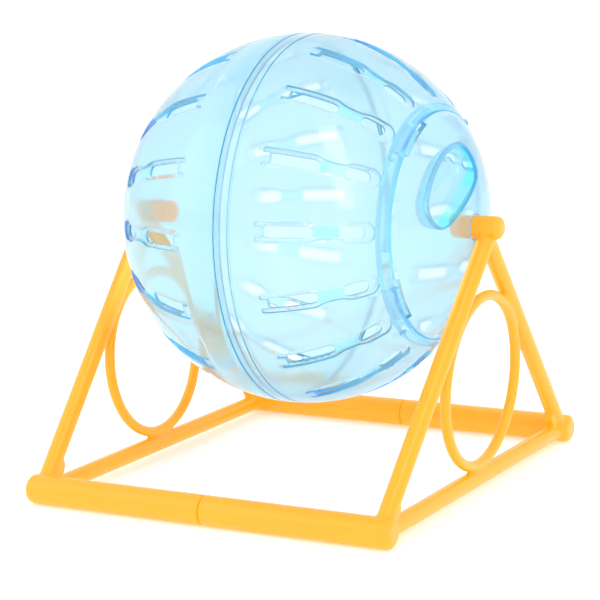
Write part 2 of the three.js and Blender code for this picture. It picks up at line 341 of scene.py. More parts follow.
stand = {
    "legTopX": 76.6 * mm,  # middle of the legs at the height of the axle
    "legFootX": 72.0 * mm,
    "legRadius": 3.35 * mm,
    "legMeetDrop": 4.2 * mm,
    "railRadius": 3.35 * mm,
    "railDrop": 0.65 * mm,
    "ringTube": 2.1 * mm,
    "ringSinkLeg": 1.2 * mm,
    "ringSinkRail": 0.45 * mm,
    "hubRadius": 4.5 * mm,
    "hubRound": 2.4 * mm,
    "pinBevel": 0.8 * mm,
    "barEndRound": 2.4 * mm,
    "barEndWall": 3 * mm,
    "boreRadius": 4.3 * mm,
    "spigotRadius": 3.95 * mm,
    "spigotWall": 1.4 * mm,
    "spigotLength": 15 * mm,
    "seamGap": 0.3 * mm,
    "seamRound": 0.8 * mm,
    "webOnLeg": 8.5 * mm,
    "webOnRail": 4 * mm,
    "webBulge": 1.2 * mm,
    "webThickness": 4 * mm,
    "grain": 0.5 * mm,  # size of the faces where the rods run together
    "smoothing": 0.5,
    "smoothRounds": 6,
    "plainFrom": 30 * mm,  # nearer the seam than this, the bars are turned on a lathe
    "rodSides": 48,
    "ringSteps": 96,
    "tubeSteps": 24,
    "hubSteps": 64,
    "barSteps": 72,
    "roundSteps": 8,
    "seamSteps": 5,
}
barLow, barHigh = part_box("front_bar_right")
frameLow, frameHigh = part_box("right_frame")
barY = abs(barLow.y + barHigh.y) / 2
barRadius = (barHigh.z - barLow.z) / 2
barZ = barRadius
frameSlope = (stand["legTopX"] - stand["legFootX"]) / (axle - barZ)
legMeetZ = axle - stand["legMeetDrop"]
legAngle = atan2(legMeetZ - barZ, barY)
railZ = barZ - stand["railDrop"]
railTop = railZ + stand["railRadius"]


def frameX(z):
    return stand["legFootX"] + frameSlope * (z - barZ)


def rod(name, start, end, radius):
    pick()
    along = end - start
    turn = along.to_track_quat("Z", "Y").to_euler()
    bpy.ops.mesh.primitive_cylinder_add(vertices=stand["rodSides"], radius=radius, depth=along.length,
                                        location=(start + end) / 2, rotation=turn)
    piece = bpy.context.view_layer.objects.active
    piece.name = name
    bpy.ops.object.transform_apply()
    return piece


def leg(side):
    foot = Vector((stand["legFootX"], side * barY, barZ))
    meet = Vector((frameX(legMeetZ), 0, legMeetZ))
    along = (meet - foot).normalized()
    return rod("leg", foot, meet + along * stand["legRadius"] / 2, stand["legRadius"])


def rail():
    ends = [Vector((stand["legFootX"], side * barY, railZ)) for side in (-1, 1)]
    return rod("rail", *ends, stand["railRadius"])


def ring():
    # touches the rail and both legs, and sinks a little into each
    share = cos(legAngle)
    legReach = legMeetZ * share - stand["legRadius"] + stand["ringSinkLeg"]
    low = railTop - stand["ringSinkRail"]
    ringZ = (legReach + low) / (1 + share)
    pick()
    bpy.ops.mesh.primitive_torus_add(major_segments=stand["ringSteps"], minor_segments=stand["tubeSteps"],
                                     location=(frameX(ringZ), 0, ringZ),
                                     rotation=(0, pi / 2 + atan(frameSlope), 0),
                                     major_radius=ringZ - low - stand["ringTube"],
                                     minor_radius=stand["ringTube"])
    bpy.ops.object.transform_apply()
    return bpy.context.view_layer.objects.active


def hub():
    pinEnd, hubEnd = frameLow.x, frameHigh.x
    radius, bevel, turn = stand["hubRadius"], stand["pinBevel"], stand["hubRound"]
    outline = [(pinEnd, 0), (pinEnd, radius - bevel), (pinEnd + bevel, radius)]
    outline += roundTurn(hubEnd - turn, radius - turn, turn, 90, 0, stand["roundSteps"])
    outline += [(hubEnd, 0)]
    return placed(spun("hub", outline, stand["hubSteps"]), z=axle)


def web(side):
    # the small rounded plate in the corner between a leg and the rail
    corner = (railTop - barZ) / tan(legAngle) + stand["legRadius"] / sin(legAngle) - barY
    sink = stand["legRadius"] / 3
    high = Vector((corner, railTop)) + stand["webOnLeg"] * Vector((cos(legAngle), sin(legAngle)))
    low = Vector((corner + stand["webOnRail"], railTop))
    bend = (low + high) / 2 + Vector((2 * stand["webBulge"], 0))
    shares = [i / stand["roundSteps"] for i in range(stand["roundSteps"] + 1)]
    points = [Vector((corner - sink, railTop - sink)), Vector((low.x, railTop - sink))]
    points += [(1 - t) ** 2 * low + 2 * t * (1 - t) * bend + t * t * high for t in shares]
    points += [high + Vector((-sink, sink))]
    x = frameX(railTop) - stand["webThickness"] / 2
    piece = line("web", [(x, -side * p.x, p.y) for p in points + points[:1]])
    bpy.ops.mesh.select_all(action="SELECT")
    bpy.ops.mesh.remove_doubles(threshold=touching)
    bpy.ops.mesh.edge_face_add()
    bpy.ops.mesh.extrude_region_move(TRANSFORM_OT_translate={"value": (stand["webThickness"], 0, 0)})
    tidyMesh(piece)
    return piece


def plainBar(side):
    # the solid outside of a half bar, a little longer than is kept
    start, end, turn = stand["plainFrom"] - 4 * stand["grain"], barHigh.x, stand["barEndRound"]
    outline = [(start, 0), (start, barRadius)]
    outline += roundTurn(end - turn, barRadius - turn, turn, 90, 0, stand["roundSteps"])
    outline += [(end, 0)]
    return placed(spun("bar", outline, stand["barSteps"]), y=side * barY, z=barZ)


def barEnd(side, spigot):
    # the open end of a half bar, with its bore, and the spigot on the bars of the left moulding
    seam, turn, wall = stand["seamGap"] / 2, stand["seamRound"], stand["spigotWall"]
    start, deep = stand["plainFrom"] - stand["grain"], barHigh.x - stand["barEndWall"]
    outline = [(start, barRadius)]
    outline += roundTurn(seam + turn, barRadius - turn, turn, 90, 180, stand["seamSteps"])
    if spigot:
        radius, tip = stand["spigotRadius"], -stand["spigotLength"]
        outline += [(seam, radius), (tip + turn, radius), (tip, radius - turn), (tip, radius - wall)]
        outline += [(deep, radius - wall), (deep, 0)]
    else:
        bore = stand["boreRadius"]
        outline += [(seam, bore + turn / 2), (seam + turn / 2, bore), (deep, bore), (deep, 0)]
    piece = line("bar_end", [(x, 0, r) for x, r in outline])
    bpy.ops.mesh.select_all(action="SELECT")
    bpy.ops.mesh.spin(steps=stand["barSteps"], angle=2 * pi, center=(0, 0, 0), axis=(-1, 0, 0))
    bpy.ops.mesh.select_all(action="SELECT")
    bpy.ops.mesh.remove_doubles(threshold=touching)
    return placed(piece, y=side * barY, z=barZ)


def frameShell():
    # the rods of one side run together with small fillets, as they leave the mould
    shell = joined([rail(), leg(-1), leg(1), ring(), hub(), web(-1), web(1), plainBar(-1), plainBar(1)])
    applied(shell, "REMESH", mode="VOXEL", voxel_size=stand["grain"], adaptivity=0)
    applied(shell, "SMOOTH", factor=stand["smoothing"], iterations=stand["smoothRounds"])

    def beyondPlain(middle, normal):
        return middle.x < stand["plainFrom"] and abs(middle.y) > barY - 2 * barRadius

    chooseFaces(shell, beyondPlain)
    bpy.ops.mesh.delete(type="FACE")
    objectMode()
    return shell


def moulding(name, shell, spigot):
    # the run-together rods and the two bar ends are bridged into one skin
    piece = joined([shell, barEnd(-1, spigot), barEnd(1, spigot)])
    piece.name = name
    points = piece.data.vertices
    for side in (-1, 1):
        edit(piece, "DESELECT")
        bpy.ops.mesh.select_mode(type="EDGE")
        bpy.ops.mesh.select_non_manifold(extend=False, use_wire=False, use_multi_face=False,
                                         use_non_contiguous=False, use_verts=False)
        objectMode()
        for vertex in points:
            atGap = abs(vertex.co.x - stand["plainFrom"]) < 3 * stand["grain"]
            vertex.select = vertex.select and vertex.co.y * side > 0 and atGap
        for edge in piece.data.edges:
            edge.select = all(points[i].select for i in edge.vertices)
        bpy.ops.object.mode_set(mode="EDIT")
        bpy.ops.mesh.bridge_edge_loops()
        objectMode()
    return piece


# Ball

ball = {
    "radius": 72.5 * mm,
    "wall": 1.8 * mm,
    "jointX": -0.2 * mm,
    "jointGap": 0.15 * mm,
    "jointRound": 0.3 * mm,
    "lipLength": 1.8 * mm,
    "lipThickness": 1.0 * mm,
    "lipGap": 0.2 * mm,
    "lipRoot": 2 * mm,
    "lipTaper": 13 * mm,
    "grooveAt": 5.9 * mm,
    "grooveWidth": 1.1 * mm,
    "grooveDepth": 0.5 * mm,
    "pinHole": 4.8 * mm,
    "holeRound": 0.3 * mm,
    "slotCount": 16,
    "slotTurnRight": 85.7,
    "slotTurnLeft": 90,
    "longStart": 15.0,  # angles along the slots are from the middle plane
    "longInset": 0.3,
    "longEnd": 29.9,
    "longWidth": 4.2 * mm,
    "longMouth": ((0, 0.86), (0.25, 0.97), (0.6, 1)),  # angle from the end, share of the width
    "shortStart": 37.3,
    "shortEnd": 45.1,
    "shortWidth": 4.6 * mm,
    "pocketStart": 12.8,
    "pocketMouth": ((0, 0.9), (0.2, 0.96), (0.7, 1)),
    "pocketRows": (17, 19.5, 22, 24.5, 26.5),
    "pocketEnd": 48.0,
    "pocketWidth": 7.4 * mm,
    "pocketDepth": 0.9 * mm,
    "tongueWidth": 4.1 * mm,
    "shoulderAt": 28.0,
    "waistFrom": 32.6,
    "waistTo": 35.8,
    "swellAt": 40.5,
    "waistWidth": 4.5 * mm,
    "edgeRound": 0.3 * mm,
}
innerRadius = ball["radius"] - ball["wall"]
slotStep = 360 / ball["slotCount"]


def eased(fromTurn, toTurn, fromHalf, toHalf):
    # stations along a soft change of width
    shares = [i / 7 for i in range(8)]
    return [(fromTurn + (toTurn - fromTurn) * share,
             fromHalf + (toHalf - fromHalf) * ((1 - cos(pi * share)) / 2)) for share in shares]


def pocketStations():
    # half widths along the pocket, from the middle plane towards the pole
    wide, waist = ball["pocketWidth"] / 2, ball["waistWidth"] / 2
    stations = [(ball["pocketStart"] + turn, share * wide) for turn, share in ball["pocketMouth"]]
    stations += [(turn, wide) for turn in (ball["longStart"], *ball["pocketRows"], ball["shoulderAt"])]
    stations += eased(ball["shoulderAt"], ball["waistFrom"], wide, waist)[1:]
    stations += eased(ball["waistTo"], ball["swellAt"], waist, wide)
    endMiddle = ball["pocketEnd"] - degrees(wide / ball["radius"])
    turns = [pi / 2 * i / 12 for i in range(13)]
    return stations + [(endMiddle + degrees(wide * sin(turn) / ball["radius"]), wide * cos(turn))
                       for turn in turns]


def slotStations(start, end, width, mouth):
    # the slot's far end is round, and its near end is too where no mouth is given
    half = width / 2
    halfTurn = degrees(half / ball["radius"])
    lead = 1.3 * halfTurn
    turns = [pi / 2 * i / 8 for i in range(9)]
    if mouth:
        stations = [(start + turn, half * share) for turn, share in mouth]
    else:
        stations = [(start + halfTurn * (1 - cos(turn)), half * sin(turn)) for turn in turns]
    stations += [(start + lead + (end - start - 2 * lead) * i / 5, half) for i in range(6)]
    return stations + [(end - halfTurn * (1 - sin(turn)), half * cos(turn)) for turn in turns]


def onBall(turn, across, radius):
    # a place over the ball: an angle from the middle plane, and a distance sideways
    out = Vector((sin(radians(turn)), 0, cos(radians(turn))))
    return radius * (out + Vector((0, across / ball["radius"], 0))).normalized()


def ribbonCutter(name, stations, columns, levels, leaveOut=None):
    # a closed strip over the ball. A station is an angle and half the width there, a column is a share of
    # that half, and a level is a distance from the ball's middle and how far the sides stand out there
    pick()
    rows, across = len(stations), len(columns)
    bpy.ops.mesh.primitive_grid_add(x_subdivisions=rows - 1, y_subdivisions=across - 1, size=1)
    piece = bpy.context.view_layer.objects.active
    piece.name = name
    grid = sorted(piece.data.vertices, key=lambda v: (round(v.co.x, 5), round(v.co.y, 5)))
    places = {vertex.index: (*stations[i // across], columns[i % across]) for i, vertex in enumerate(grid)}
    keys = ("turn", "half", "share")
    for number, key in enumerate(keys):
        layer = piece.data.attributes.new(key, "FLOAT", "POINT")
        for index, place in places.items():
            layer.data[index].value = place[number]
    if leaveOut:
        corners = [[places[i] for i in face.vertices] for face in piece.data.polygons]
        edit(piece, "DESELECT")
        bpy.ops.mesh.select_mode(type="FACE")
        objectMode()
        for face, around in zip(piece.data.polygons, corners):
            middle = [sum(values) / 4 for values in zip(*around)]
            face.select = leaveOut(middle[0], middle[2])
        bpy.ops.object.mode_set(mode="EDIT")
        bpy.ops.mesh.delete(type="FACE")
    edit(piece)
    halfway = (stations[0][0] + stations[-1][0]) / 2
    length = stations[-1][0] - stations[0][0]
    for number, (radius, grow) in enumerate(levels):
        if number:
            bpy.ops.object.mode_set(mode="EDIT")
            bpy.ops.mesh.extrude_region_move(TRANSFORM_OT_translate={"value": (0, 0, mm)})
        objectMode()
        layers = [piece.data.attributes[key].data for key in keys]
        stretch = 1 + degrees(grow / ball["radius"]) * 2 / length
        for vertex in piece.data.vertices:
            if vertex.select:
                turn, half, share = (layer[vertex.index].value for layer in layers)
                vertex.co = onBall(halfway + (turn - halfway) * stretch, (half + grow) * share, radius)
    tidyMesh(piece)
    return piece


def pocketCutter():
    # a shallow pocket that leaves a tongue of the skin standing at its near end
    outer, edge = ball["radius"], ball["edgeRound"]
    floor = outer - ball["pocketDepth"]
    tongue = ball["tongueWidth"] / ball["pocketWidth"]
    levels = [(floor, -0.8 * edge), (floor + 0.25 * edge, -0.25 * edge), (floor + 0.7 * edge, 0),
              (outer - 0.5 * edge, 0), (outer - 0.15 * edge, 0.25 * edge), (outer, 0.7 * edge),
              (outer + mm, 3.0 * edge)]
    columns = [-1, -tongue, -tongue / 2, tongue / 2, tongue, 1]

    def inTongue(turn, share):
        return turn < ball["longStart"] and abs(share) < tongue

    return ribbonCutter("pocket", pocketStations(), columns, levels, inTongue)


def slotCutter(start, end, width, mouth=None):
    floor, edge = ball["radius"] - ball["pocketDepth"], ball["edgeRound"]
    levels = [(innerRadius - mm, 2 * edge), (innerRadius, 0.6 * edge), (innerRadius + 0.2 * edge, 0.2 * edge),
              (innerRadius + 0.7 * edge, 0), (floor - 0.6 * edge, 0), (floor - 0.2 * edge, 0.2 * edge),
              (floor, 0.6 * edge), (ball["radius"] + mm, 0.9 * edge)]
    return ribbonCutter("slot", slotStations(start, end, width, mouth), [-1, -0.3, 0.3, 1], levels)


def slotted(name, outline, firstTurn):
    # one sixteenth of the shell gets its slots, and then its copies go all round
    sector = spun(name, outline, round(slotStep / turnStep), -slotStep / 2, slotStep / 2)
    longStart = ball["longStart"] + ball["longInset"]
    cut(sector, pocketCutter())
    cut(sector, slotCutter(longStart, ball["longEnd"], ball["longWidth"], ball["longMouth"]))
    cut(sector, slotCutter(ball["shortStart"], ball["shortEnd"], ball["shortWidth"]))
    side = Vector((0, cos(radians(slotStep / 2)), sin(radians(slotStep / 2))))

    def onSide(middle, normal):
        return abs(abs(middle.y) * side.y - middle.z * side.z) < 10 * touching and abs(normal.x) < 0.01

    chooseFaces(sector, onSide)
    bpy.ops.mesh.delete(type="FACE")
    repeated(sector, ball["slotCount"], slotStep)
    tidyMesh(sector, 20 * touching)
    return turned(sector, firstTurn)


def seamEdge(edge):
    # the rounded outer edge where the two halves meet
    radius, turn = ball["radius"], ball["jointRound"]
    return [(edge + turn * (1 - cos(radians(a))), radius - turn * (1 - sin(radians(a)))) for a in (0, 30, 60)]


def rightOutline(opening):
    # from the joint over the outside to the opening, its ledge and collar, and back along the inside
    radius, groove, half = ball["radius"], ball["grooveAt"], ball["grooveWidth"] / 2
    edge = ball["jointX"] + ball["jointGap"]
    ledge = innerRadius - door["ledgeGap"]
    low = ledge - door["ledgeThickness"]
    inner, collar = door["radius"] - door["ledgeWidth"], opening + door["collarThickness"]
    rim, foot = opening + door["edgeRound"], collar + door["edgeRound"]
    outline = seamEdge(edge)
    outline += sphereArc(radius, edge + ball["jointRound"], groove - half)
    outline += [(groove + side * half / 2, radius - ball["grooveDepth"]) for side in (-1, 1)]
    outline += sphereArc(radius, groove + half, sphereX(radius, rim))
    outline += [(sphereX(radius, rim) - door["rimDrop"], opening + door["rimEase"])]
    outline += [(sphereX(radius, opening) - door["rimEnd"], opening)]
    outline += sphereArc(ledge, sphereX(ledge, opening), sphereX(ledge, inner))
    outline += sphereArc(low, sphereX(low, inner), sphereX(low, collar))
    outline += [(sphereX(innerRadius, collar) - door["edgeRound"], collar)]
    outline += [(sphereX(innerRadius, foot), foot)]
    outline += sphereArc(innerRadius, sphereX(innerRadius, collar + door["collarFoot"]), edge)
    return outline


def leftOutline():
    # drawn towards +x and mirrored later; the lip runs back past the joint
    radius, hole, turn = ball["radius"], ball["pinHole"], ball["holeRound"]
    seam = -ball["jointX"]
    edge = seam + ball["jointGap"]
    lipOuter = innerRadius - ball["lipGap"]
    lipInner = lipOuter - ball["lipThickness"]
    tip = seam - ball["lipLength"]
    outline = seamEdge(edge)
    outline += sphereArc(radius, edge + ball["jointRound"], sphereX(radius, hole + turn))
    outline += [(sphereX(radius, hole) - turn, hole), (sphereX(innerRadius, hole) + turn, hole)]
    outline += sphereArc(innerRadius, sphereX(innerRadius, hole + turn), seam + ball["lipTaper"])
    outline += sphereArc(lipInner, seam + ball["lipRoot"], tip + turn)
    outline += [(tip, lipInner + turn), (tip, lipOuter - turn)]
    outline += sphereArc(lipOuter, tip + turn, edge)
    return outline


# Door

door = {
    "radius": 43.4 * mm,
    "gap": 0.25 * mm,
    "edgeRound": 0.3 * mm,
    "rimDrop": 0.1 * mm,
    "rimEase": 0.08 * mm,
    "rimEnd": 0.35 * mm,
    "ledgeGap": 0.3 * mm,
    "ledgeWidth": 1.0 * mm,
    "ledgeThickness": 1.4 * mm,
    "collarThickness": 1.8 * mm,
    "collarFoot": 1.2 * mm,
    "latchCount": 4,
    "latchTurn": 35.5,
    "latchArc": 19,
    "latchTwist": 20,
    "latchInset": 2.5 * mm,
    "latchThickness": 1.0 * mm,
    "latchReach": 0.2 * mm,
    "slideGap": 0.35 * mm,
    "windowLead": 6,
    "notchMargin": 0.75,
    "notchDepth": 0.3 * mm,
    "nubTurn": 15.5,
    "nubRadius": 1.5 * mm,
    "nubHeight": 0.8 * mm,
    "recessTurn": 30,
    "recessOuter": 30.6 * mm,
    "recessChord": 11.9 * mm,
    "recessHalfWidth": 20.2 * mm,
    "recessCorner": 6.5 * mm,
    "recessShoulder": 7.5 * mm,
    "recessFillet": 5.2 * mm,
    "recessDepth": 13.5 * mm,
    "recessWall": 1.0 * mm,
    "recessRim": [  # each level's base, how far it is above that, how far it grows past the outline
        ("roof", -0.4 * mm, 0),
        ("roof", -0.1 * mm, 0.05 * mm),
        ("roof", 0, 0.16 * mm),
        ("roof", 0.4 * mm, 0.6 * mm),
        ("lid", 2 * mm, 0.7 * mm),
    ],
}


def ringPieces(name, outline, fromTurn, toTurn):
    # a length of ring at each latch
    piece = spun(name, outline, max(4, round((toTurn - fromTurn) / turnStep)), fromTurn, toTurn)
    return repeated(piece, door["latchCount"], 360 / door["latchCount"])


def nubs():
    beside = door["radius"] + door["gap"] + door["collarThickness"] + door["nubRadius"]
    pick()
    bpy.ops.mesh.primitive_uv_sphere_add(segments=32, ring_count=16, radius=door["nubRadius"])
    piece = bpy.context.view_layer.objects.active
    piece.name = "nub"
    edit(piece)
    bpy.ops.transform.resize(value=(1, 1, door["nubHeight"] / door["nubRadius"]))
    objectMode()
    out = onBall(90 - degrees(asin(beside / ball["radius"])), 0, ball["radius"])
    piece.data.transform(Matrix.Translation(out) @ out.to_track_quat("Z", "Y").to_matrix().to_4x4())
    turned(piece, door["latchTurn"] + door["nubTurn"])
    return repeated(piece, door["latchCount"], 360 / door["latchCount"])


def rightHalf():
    # the opening's ledge has a notch for each latch to pass
    opening = door["radius"] + door["gap"]
    shell = slotted("ball_right_shell", rightOutline(opening), ball["slotTurnRight"])
    far, near = ball["radius"], ball["radius"] / 2
    inner, outer = door["radius"] - door["ledgeWidth"] - door["slideGap"], opening + door["notchDepth"]
    reach = door["latchArc"] / 2 + door["notchMargin"]
    middle = door["latchTurn"] - door["latchTwist"]
    outline = [(near, inner), (near, outer), (far, outer), (far, inner)]
    cut(shell, ringPieces("notch", outline, middle - reach, middle + reach))
    cut(shell, nubs(), "UNION")
    return shell


def recessOutline(grow):
    # (across, out) points of the thumb recess round its middle line
    outer, half = door["recessOuter"] + grow, door["recessHalfWidth"] + grow
    chord, corner = door["recessChord"] - grow, door["recessCorner"] + grow
    shoulder = door["recessShoulder"] + grow
    shoulderOut = sqrt((outer - shoulder) ** 2 - (half - shoulder) ** 2)
    shoulderTurn = atan2(shoulderOut, half - shoulder)

    def arc(across, out, radius, start, end, steps):
        turns = [start + (end - start) * i / steps for i in range(steps + 1)]
        return [(across + radius * cos(t), out + radius * sin(t)) for t in turns]

    points = [(corner - half + (2 * half - 2 * corner) * i / 8, chord) for i in range(1, 8)]
    points += arc(half - corner, chord + corner, corner, -pi / 2, 0, 10)
    points += arc(half - shoulder, shoulderOut, shoulder, 0, shoulderTurn, 8)
    points += arc(0, 0, outer, shoulderTurn, pi - shoulderTurn, 32)[1:-1]
    points += arc(shoulder - half, shoulderOut, shoulder, pi - shoulderTurn, pi, 8)
    points += arc(corner - half, chord + corner, corner, pi, 3 * pi / 2, 10)
    return points


def filletLevels(radius, grow):
    # a round bottom edge, from the floor up into the wall
    turns = [radians(15 * i) for i in range(7)]
    return [("floor", radius * (1 - cos(t)), grow - radius * (1 - sin(t))) for t in turns]


def recessBody(name, floor, roof, levels):
    # a cup whose top follows the ball's roundness
    pick()
    bpy.ops.mesh.primitive_circle_add(vertices=len(recessOutline(0)), radius=mm, fill_type="NGON")
    piece = bpy.context.view_layer.objects.active
    piece.name = name
    layer = piece.data.attributes.new("number", "INT", "POINT")
    for vertex in piece.data.vertices:
        layer.data[vertex.index].value = vertex.index
    edit(piece)
    turn = radians(door["recessTurn"])
    for step, (base, up, grow) in enumerate(levels):
        if step:
            bpy.ops.object.mode_set(mode="EDIT")
            bpy.ops.mesh.extrude_region_move(TRANSFORM_OT_translate={"value": (0, 0, mm)})
        objectMode()
        points = recessOutline(grow)
        numbers = piece.data.attributes["number"].data
        for vertex in piece.data.vertices:
            if vertex.select:
                across, out = points[numbers[vertex.index].value]
                y, z = across * cos(turn) - out * sin(turn), across * sin(turn) + out * cos(turn)
                bases = {"floor": floor, "roof": sphereX(roof, sqrt(y * y + z * z)), "lid": ball["radius"]}
                vertex.co = (bases[base] + up, y, z)
    tidyMesh(piece)
    return piece


def thumbRecess(shell):
    # a solid cup under the dome, and then the hollow in it
    floor, wall, fillet = ball["radius"] - door["recessDepth"], door["recessWall"], door["recessFillet"]
    cupLevels = filletLevels(fillet + wall, wall) + [("roof", 0, wall)]
    cut(shell, recessBody("cup", floor - wall, ball["radius"] - ball["wall"] / 2, cupLevels), "UNION")
    cut(shell, recessBody("hollow", floor, ball["radius"], filletLevels(fillet, 0) + door["recessRim"]))


def doorShell():
    radius, rim, hole, turn = ball["radius"], door["radius"], ball["pinHole"], door["edgeRound"]
    outline = [(sphereX(radius, rim) - turn, rim)]
    outline += sphereArc(radius, sphereX(radius, rim - turn), sphereX(radius, hole + turn))
    outline += [(sphereX(radius, hole) - turn, hole), (sphereX(innerRadius, hole) + turn, hole)]
    outline += sphereArc(innerRadius, sphereX(innerRadius, hole + turn), sphereX(innerRadius, rim))
    shell = spun("door_shell", outline, round(360 / turnStep))
    thumbRecess(shell)
    start, end = (door["latchTurn"] + side * door["latchArc"] / 2 for side in (-1, 1))
    low = innerRadius - door["ledgeGap"] - door["ledgeThickness"] - door["slideGap"]
    bottom = low - door["latchThickness"]
    shank = rim - door["ledgeWidth"] - door["slideGap"]
    inner, tip = rim - door["latchInset"], rim + door["latchReach"]
    beyond = tip + 2 * mm
    base, root = sphereX(innerRadius - door["ledgeGap"], tip), radius - ball["wall"] / 2
    window = [(base, shank), (base, beyond), (radius, beyond), (radius, shank)]
    cut(shell, ringPieces("window", window, start - door["windowLead"], end))
    latch = [(sphereX(root, inner), inner), (sphereX(root, shank), shank), (sphereX(low, shank), shank),
             (sphereX(low, tip), tip), (sphereX(bottom, tip), tip), (sphereX(bottom, inner), inner)]
    cut(shell, ringPieces("latch", latch, start, end), "UNION")
    return shell


# Edges, painted a deeper blue than the skin: painted shade for the longer way light takes through the plastic
# where a face stands across it

edgeShadeMarks = {
    "leanFrom": 0.06,  # how much a face leans from the skin before it counts as an edge
    "leanSpan": 0.3,
    "cupShare": 0.12,  # inside the thumb recess
    "cupMargin": 2 * mm,
    "cupDepth": 3.6 * mm,
    "latchShare": 0.35,
    "latchZone": 38 * mm,
    "latchMargin": 0.1 * mm,
    "seamShare": 2.0,
    "seamZone": 8 * mm,
    "poleShare": 0.6,
    "poleZone": 42 * mm,
    "collarShare": 0.5,
    "collarStart": 0.2 * mm,
    "collarMargin": 1 * mm,
    "waistShare": 0.6,
    "waistDepth": 0.3 * ball["pocketDepth"],
}


def slotPlace(out):
    # the angle from the middle plane, and the distance beside the middle of the nearest slot
    first = ball["slotTurnRight"] if out.x > 0 else ball["slotTurnLeft"]
    aside = (degrees(atan2(-out.y, out.z)) - first + slotStep / 2) % slotStep - slotStep / 2
    ringRadius = out.yz.length
    return degrees(atan2(abs(out.x), ringRadius)), abs(radians(aside)) * ringRadius


def edgeShare(out, normal):
    # how much painted shade a face gets: 1 where it stands across the ball's skin, 0 on the skin itself, and
    # more on the seam's edges
    beside, depth = out.yz.length, ball["radius"] - out.length
    lean = 1 - abs(normal.dot(out.normalized()))
    share = min(1.0, max(0.0, (lean - edgeShadeMarks["leanFrom"]) / edgeShadeMarks["leanSpan"]))
    inCup = beside < door["recessOuter"] + edgeShadeMarks["cupMargin"] and depth > edgeShadeMarks["cupDepth"]
    byLatch = edgeShadeMarks["latchZone"] < beside < door["radius"] - edgeShadeMarks["latchMargin"]
    collarEnd = door["collarThickness"] + edgeShadeMarks["collarMargin"]
    if out.x > 0 and inCup:
        share *= edgeShadeMarks["cupShare"]
    if out.x > 0 and byLatch:
        share *= edgeShadeMarks["latchShare"]
    if abs(out.x) < edgeShadeMarks["seamZone"] and share > 0.5:
        share = edgeShadeMarks["seamShare"]
    if abs(out.x) > edgeShadeMarks["poleZone"] and beside > door["radius"]:
        share *= edgeShadeMarks["poleShare"]
    if out.x > 0 and edgeShadeMarks["collarStart"] < beside - door["radius"] < collarEnd:
        share = max(share, edgeShadeMarks["collarShare"])
    turn, across = slotPlace(out)
    atWaist = ball["longEnd"] < turn < ball["shortStart"] and across < ball["waistWidth"] / 2
    if atWaist and depth > edgeShadeMarks["waistDepth"]:
        share = max(share, edgeShadeMarks["waistShare"])
    return share


# stores each face's share of painted edge shade in its corners' edge attribute
def paintEdgeShade(piece):
    middle = Vector((0, 0, axle))
    edges = piece.data.attributes.new("edge", "FLOAT", "CORNER")
    for face in piece.data.polygons:
        share = edgeShare(face.center - middle, face.normal)
        for corner in face.loop_indices:
            edges.data[corner].value = share


# Yellow plastic of the stand

standLook = {
    "pale": (0.97, 0.31, 0.0, 1),
    "deep": (0.95, 0.28, 0.0, 1),
    "cloudScale": 18.0,
    "paintedWarmLight": (0.24, 0.17, 0.0, 1),  # painted light: an even glow that lifts the stand's shaded sides, in place of light that the plastic lets through
    # painted light: the pins glow so they show bright orange inside the ball's shade
    "paintedPinLight": (0.66, 0.20, 0.0, 1),
    "paintedLegLight": (0.92, 0.47, 0.07, 1),  # painted light on the sides of the legs that face the ball, where the ball shades them
    "paintedLegLightFrom": 92 * mm,  # from the ball's middle, where that painted light starts
    "paintedLegLightFull": 80 * mm,
    "roughness": 0.36,
    "roughSpread": 0.08,
    "roughScale": 60.0,
    "grainScale": 900.0,
    "grainStrength": 0.04,
    "grainDepth": 0.1 * mm,
    "subsurface": 0.3,
    "subsurfaceReach": (3.0, 1.6, 0.4),
    "coat": 0.35,
    "coatRoughness": 0.08,
}


def standPlastic():
    finish = Finish("yellow plastic")
    place = finish.place()
    cloud = finish.noise(place, standLook["cloudScale"], 2.0)
    grain = finish.noise(place, standLook["grainScale"], 2.0)
    spread = finish.noise(place, standLook["roughScale"], 3.0)
    x, y, z = finish.parts(place)
    # painted light: the legs' sides that face the ball below the hub, and the pins inside the ball, glow more
    reach = (x * x + y * y + (z - axle) * (z - axle)).root()
    paintedLightSpan = standLook["paintedLegLightFrom"] - standLook["paintedLegLightFull"]
    nearBall = (standLook["paintedLegLightFrom"] - reach) * (1 / paintedLightSpan)
    inside = (frameX(z) - x.size()) * (2 / stand["legRadius"])
    underHub = z.below(axle - stand["hubRadius"])
    legSide = nearBall.within() * inside.within() * underHub
    pin = x.size().below(ball["radius"]) * (1 - underHub)
    paintedLight = finish.mix(legSide, standLook["paintedWarmLight"], standLook["paintedLegLight"])
    surface = finish.node("ShaderNodeBsdfPrincipled", None, {
        "Base Color": finish.mix(cloud, standLook["deep"], standLook["pale"]),
        "Roughness": standLook["roughness"] + standLook["roughSpread"] * spread,
        "Normal": finish.bump(grain, standLook["grainStrength"], standLook["grainDepth"]),
        "IOR": 1.49,
        # painted light: the glows are added as emission, lifting the stand's shaded parts
        "Emission Color": finish.mix(pin, paintedLight, standLook["paintedPinLight"]),
        "Emission Strength": 1.0,
        "Subsurface Weight": standLook["subsurface"],
        "Subsurface Radius": standLook["subsurfaceReach"],
        "Subsurface Scale": 1 * mm,
        "Coat Weight": standLook["coat"],
        "Coat Roughness": standLook["coatRoughness"],
    })
    return finish.finished(surface)


# Clear blue plastic of the ball

